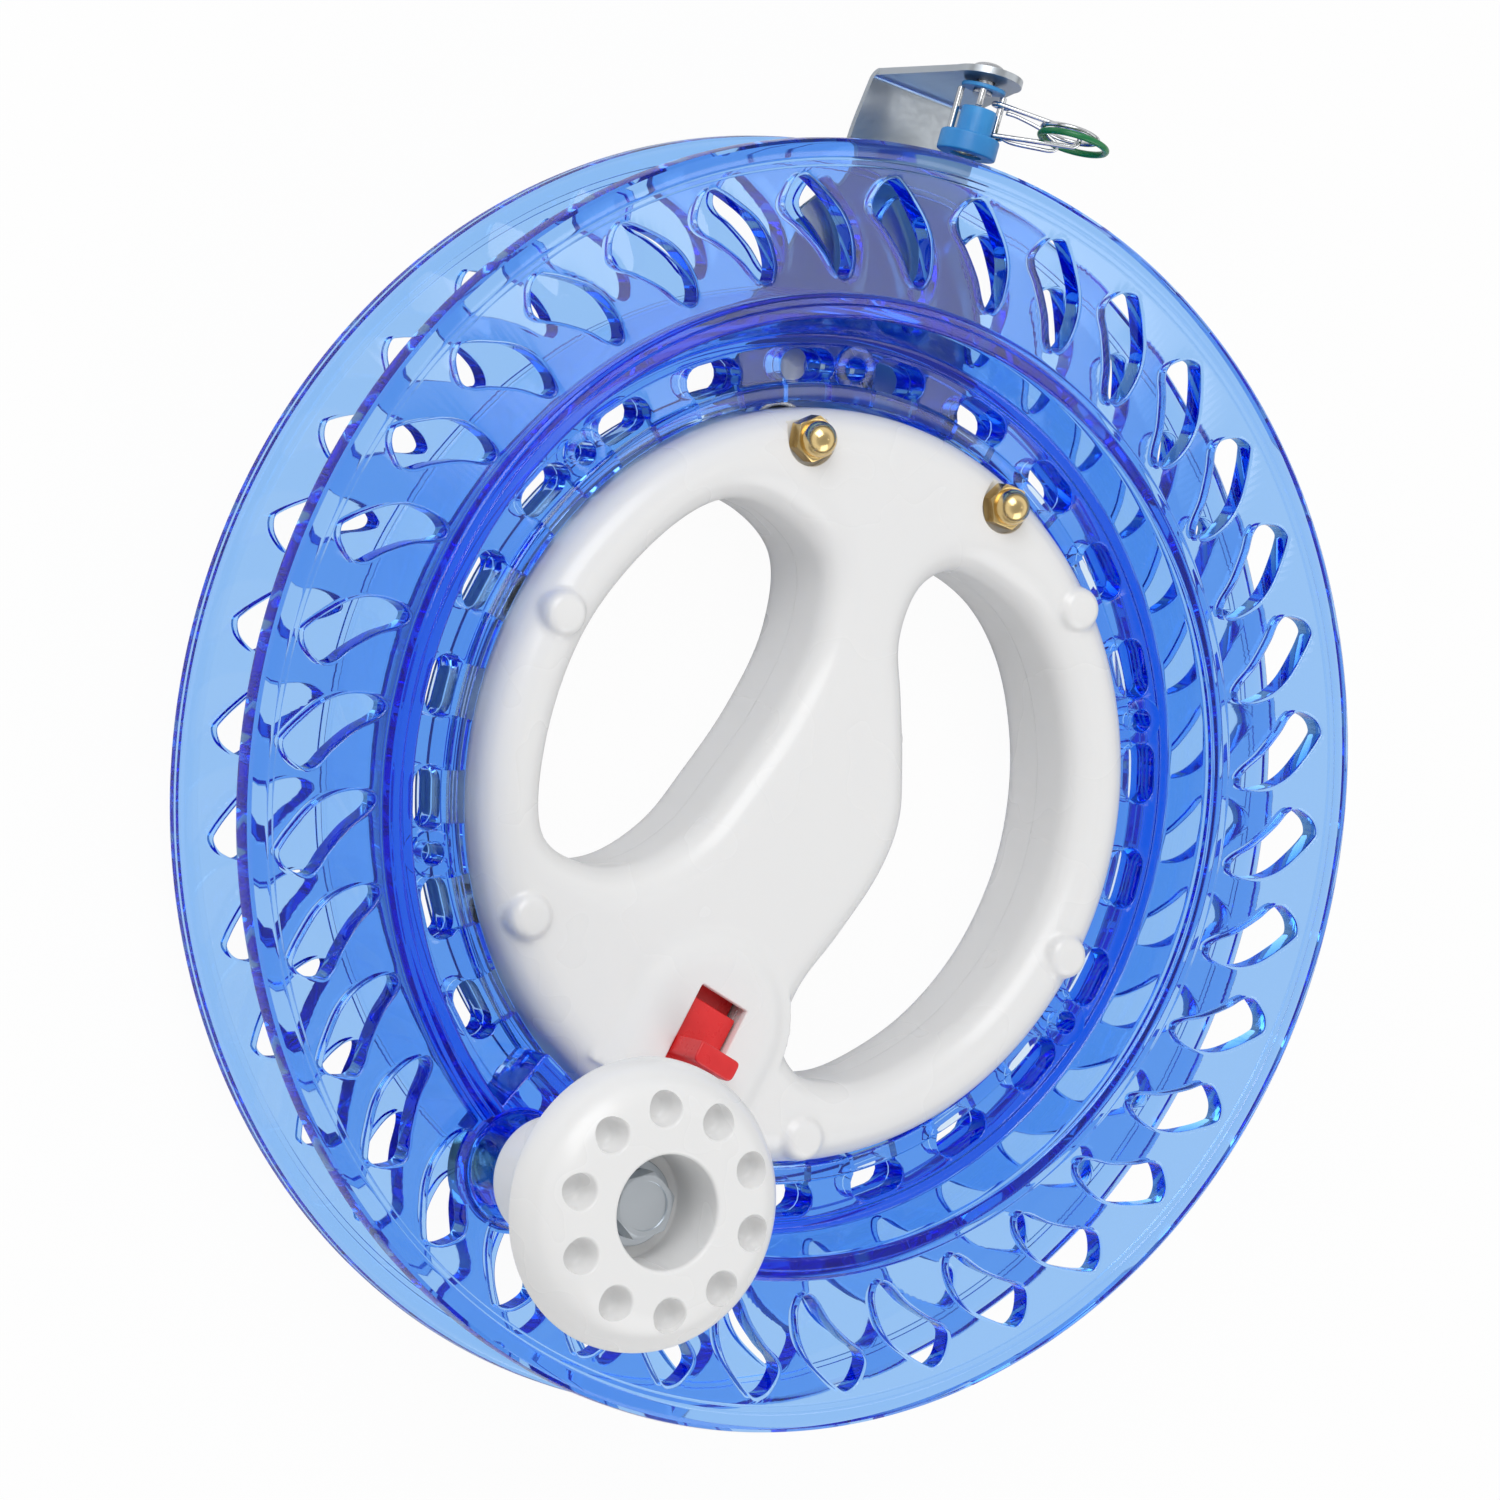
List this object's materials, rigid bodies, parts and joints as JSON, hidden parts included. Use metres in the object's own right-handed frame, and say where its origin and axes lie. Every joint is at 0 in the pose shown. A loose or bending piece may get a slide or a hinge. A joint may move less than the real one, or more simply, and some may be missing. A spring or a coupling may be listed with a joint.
{
  "type": "fishing line winder",
  "caption": "Hand winder: a clear spool wheel on bearings round an S-shaped grip with two hand openings, crank knob, sliding lock and swivelling line guide on a bracket.",
  "frame": {"origin": "where the wheel's axis meets the flat back of the grip", "axes": "+Z along the wheel's axis towards the crank side, +Y towards the side of the line guide"},
  "size_m": [0.22, 0.2335, 0.0821],
  "materials": {
    "abs_white": "satin moulded ABS",
    "blue_clear": "clear tinted moulding, polished",
    "steel": "ground",
    "chrome": "polished",
    "zinc_plate": "zinc plated",
    "brass": "turned",
    "red_plastic": "moulded",
    "guide_blue": "moulded",
    "green_coat": "coated wire"
  },
  "bodies": {
    "grip": {"grip_front": "abs_white", "grip_rear": "abs_white", "bearing_inner_1": "steel", "bearing_inner_2": "steel", "bearing_inner_3": "steel", "bearing_inner_4": "steel", "bearing_inner_5": "steel", "bearing_inner_6": "steel", "grip_screw_1": "steel", "grip_screw_2": "steel", "grip_screw_3": "steel", "grip_screw_4": "steel", "grip_screw_5": "steel", "bracket_bolt_1": "steel", "bracket_bolt_2": "steel", "cap_nut_1": "brass", "cap_nut_2": "brass", "guide_bracket": "zinc_plate", "bracket_rivet": "steel"},
    "wheel": {"wheel_front": "blue_clear", "wheel_rear": "blue_clear", "crank_insert": "brass", "crank_bolt": "zinc_plate", "crank_washer": "zinc_plate", "crank_sleeve": "steel"},
    "knob": {"crank_knob": "abs_white"},
    "lock": {"lock_slider": "red_plastic"},
    "guide": {"guide_collar": "guide_blue", "guide_body": "guide_blue", "guide_eyelet": "brass", "guide_pin_1": "chrome", "guide_pin_2": "chrome", "guide_pin_3": "chrome", "guide_pin_4": "chrome"},
    "snap": {"snap_bail": "chrome"},
    "rings": {"snap_ring_green": "green_coat", "snap_ring_steel": "chrome"},
    "roller_1": {"bearing_outer_1": "steel"},
    "roller_2": {"bearing_outer_2": "steel"},
    "roller_3": {"bearing_outer_3": "steel"},
    "roller_4": {"bearing_outer_4": "steel"},
    "roller_5": {"bearing_outer_5": "steel"},
    "roller_6": {"bearing_outer_6": "steel"}
  },
  "joints": [
    {"name": "wheel_spin", "type": "hinge", "parent": "grip", "child": "wheel", "pos_m": [0, 0, 0.0128], "axis": [0, 0, 1], "continuous": true},
    {"name": "knob_spin", "type": "hinge", "parent": "wheel", "child": "knob", "pos_m": [-0.05862, -0.06113, 0.0528], "axis": [0, 0, 1], "continuous": true},
    {"name": "lock_slide", "type": "slide", "parent": "grip", "child": "lock", "axis": [-0.5, -0.866, 0], "range_m": [-0.0045, 0.0032]},
    {"name": "guide_swivel", "type": "hinge", "parent": "grip", "child": "guide", "pos_m": [0.03414, 0.11525, 0.0156], "axis": [0.284, 0.9588, 0], "range_deg": [-150, 45]},
    {"name": "snap_swing", "type": "hinge", "parent": "guide", "child": "snap", "pos_m": [0.03718, 0.11435, 0.0176], "axis": [0.284, 0.9588, 0], "range_deg": [-35, 40]},
    {"name": "ring_swing", "type": "hinge", "parent": "snap", "child": "rings", "pos_m": [0.0416, 0.1121, 0.02346], "axis": [0.7345, -0.2176, 0.6428], "range_deg": [-12, 12]},
    {"name": "roller_spin_1", "type": "hinge", "parent": "grip", "child": "roller_1", "pos_m": [-0.00385, 0.05948, 0.0128], "axis": [0, 0, 1], "continuous": true},
    {"name": "roller_spin_2", "type": "hinge", "parent": "grip", "child": "roller_2", "pos_m": [0.05162, 0.0298, 0.0128], "axis": [0, 0, 1], "continuous": true},
    {"name": "roller_spin_3", "type": "hinge", "parent": "grip", "child": "roller_3", "pos_m": [0.05109, -0.0307, 0.0128], "axis": [0, 0, 1], "continuous": true},
    {"name": "roller_spin_4", "type": "hinge", "parent": "grip", "child": "roller_4", "pos_m": [-0.00208, -0.05956, 0.0128], "axis": [0, 0, 1], "continuous": true},
    {"name": "roller_spin_5", "type": "hinge", "parent": "grip", "child": "roller_5", "pos_m": [-0.05635, -0.0194, 0.0128], "axis": [0, 0, 1], "continuous": true},
    {"name": "roller_spin_6", "type": "hinge", "parent": "grip", "child": "roller_6", "pos_m": [-0.05109, 0.0307, 0.0128], "axis": [0, 0, 1], "continuous": true}
  ],
  "couplings": [
    {"joint": "roller_spin_1", "follows": "wheel_spin", "ratio": 10.983},
    {"joint": "roller_spin_2", "follows": "wheel_spin", "ratio": 10.983},
    {"joint": "roller_spin_3", "follows": "wheel_spin", "ratio": 10.983},
    {"joint": "roller_spin_4", "follows": "wheel_spin", "ratio": 10.983},
    {"joint": "roller_spin_5", "follows": "wheel_spin", "ratio": 10.983},
    {"joint": "roller_spin_6", "follows": "wheel_spin", "ratio": 10.983}
  ]
}
